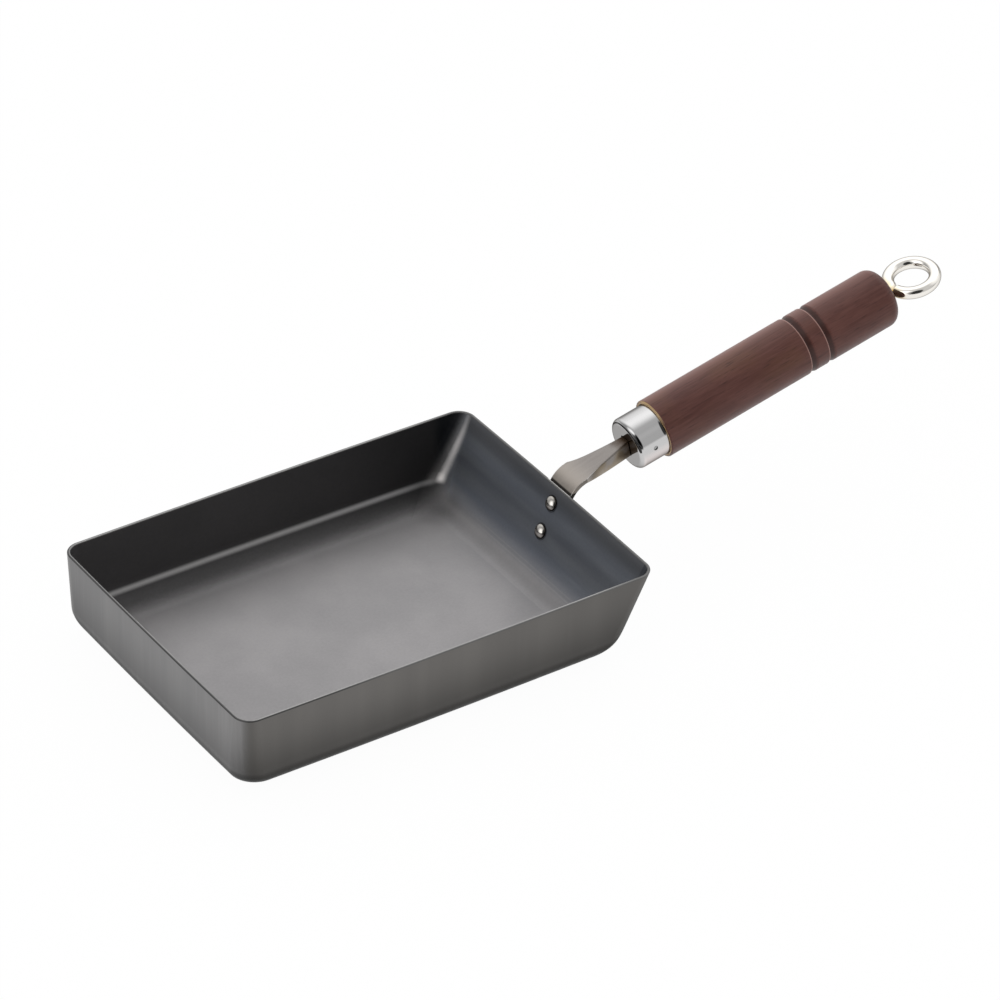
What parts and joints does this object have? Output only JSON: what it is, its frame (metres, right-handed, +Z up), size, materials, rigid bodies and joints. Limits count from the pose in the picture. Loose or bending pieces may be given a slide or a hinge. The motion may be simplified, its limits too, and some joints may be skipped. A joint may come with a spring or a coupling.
{
  "type": "tamagoyaki pan",
  "caption": "Rectangular rolled-omelette pan of pressed iron sheet with one sloping wall, a riveted steel neck and a turned wooden handle with a hanging eye.",
  "frame": {"origin": "on the surface the pan stands on, under the middle of its rim", "axes": "+X along the pan towards the handle, +Y across it, +Z up; the pan stands on its flat floor"},
  "size_m": [0.361, 0.1334, 0.0841],
  "materials": {
    "pan_iron": "satin",
    "bracket_steel": "satin",
    "rivet_steel": "polished",
    "ferrule_plating": "polished",
    "pin_steel": "polished",
    "handle_wood": "satin",
    "eye_plating": "polished"
  },
  "bodies": {
    "root": {"pan_body": "pan_iron", "handle_bracket": "bracket_steel", "upper_rivet": "rivet_steel", "lower_rivet": "rivet_steel", "ferrule": "ferrule_plating", "ferrule_pin": "pin_steel", "wooden_handle": "handle_wood", "screw_eye": "eye_plating"}
  },
  "joints": []
}
